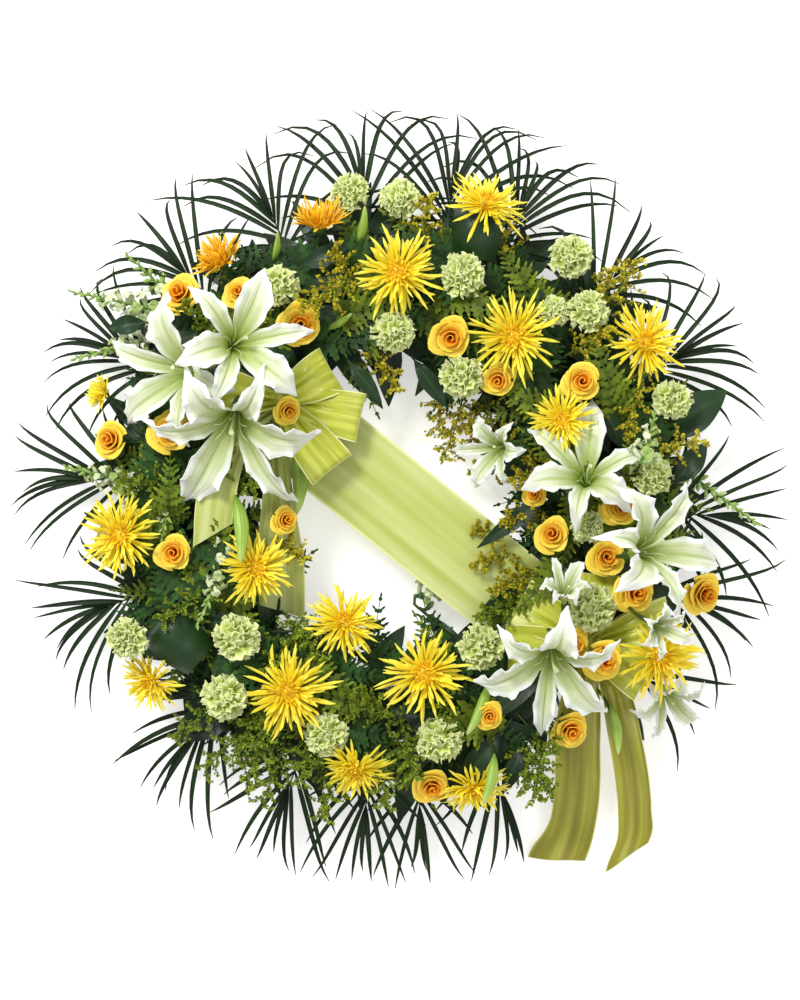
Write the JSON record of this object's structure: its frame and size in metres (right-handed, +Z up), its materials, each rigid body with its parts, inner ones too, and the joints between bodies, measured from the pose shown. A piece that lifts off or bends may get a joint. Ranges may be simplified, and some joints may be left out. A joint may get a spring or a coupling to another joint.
{
  "type": "wreath",
  "caption": "Round floral wreath laid face up: lilies, spider mums, roses and palm fronds in a foam ring, with a satin sash, bows and tails.",
  "frame": {"origin": "under the middle of the wreath, on the surface that it lies on", "axes": "+Z up out of the flowers' face, +Y towards the top of the wreath as hung, +X to its right"},
  "size_m": [0.9364, 0.9399, 0.2381],
  "materials": {
    "tray": "moulded dark green plastic",
    "foam": "open-celled green floral foam, stood in for by matte plastic",
    "ribbon": "chartreuse satin ribbon",
    "lily": "white waxy petals with a green throat, stood in for by fabric",
    "mum": "golden yellow petals",
    "rose": "yellow petals, orange in the heart",
    "carnation": "pale lime green petals",
    "green": "dark green leaf",
    "spike": "light green florets",
    "bud": "smooth light green bud"
  },
  "bodies": {
    "root": {"base_tray": "tray", "bow_lower": "ribbon", "bow_upper": "ribbon", "buds_north": "bud", "buds_south": "bud", "buds_west": "bud", "carnations_east": "carnation", "carnations_north": "carnation", "carnations_north_east": "carnation", "carnations_north_west": "carnation", "carnations_south": "carnation", "carnations_south_east": "carnation", "carnations_south_south_west": "carnation", "carnations_south_west": "carnation", "foam_ring": "foam", "greenery_inner_1": "green", "greenery_inner_2": "green", "greenery_inner_3": "green", "greenery_outer_1": "green", "greenery_outer_10": "green", "greenery_outer_2": "green", "greenery_outer_3": "green", "greenery_outer_4": "green", "greenery_outer_5": "green", "greenery_outer_6": "green", "greenery_outer_7": "green", "greenery_outer_8": "green", "greenery_outer_9": "green", "lilies_east": "lily", "lilies_north_west": "lily", "lilies_south_east": "lily", "lily_north_east": "lily", "lily_south_east": "lily", "lily_south_east_low": "lily", "mums_east": "mum", "mums_north": "mum", "mums_north_east": "mum", "mums_north_west": "mum", "mums_south": "mum", "mums_south_east": "mum", "mums_south_south_west": "mum", "mums_south_west": "mum", "mums_west": "mum", "roses_east": "rose", "roses_east_south_east": "rose", "roses_north": "rose", "roses_north_east": "rose", "roses_north_west": "rose", "roses_south": "rose", "roses_south_east": "rose", "roses_west": "rose", "roses_west_south_west": "rose", "sash": "ribbon", "spike_south": "spike", "spikes_east": "spike", "spikes_north_west": "spike", "spikes_south_west": "spike", "spikes_west": "spike"}
  },
  "joints": []
}
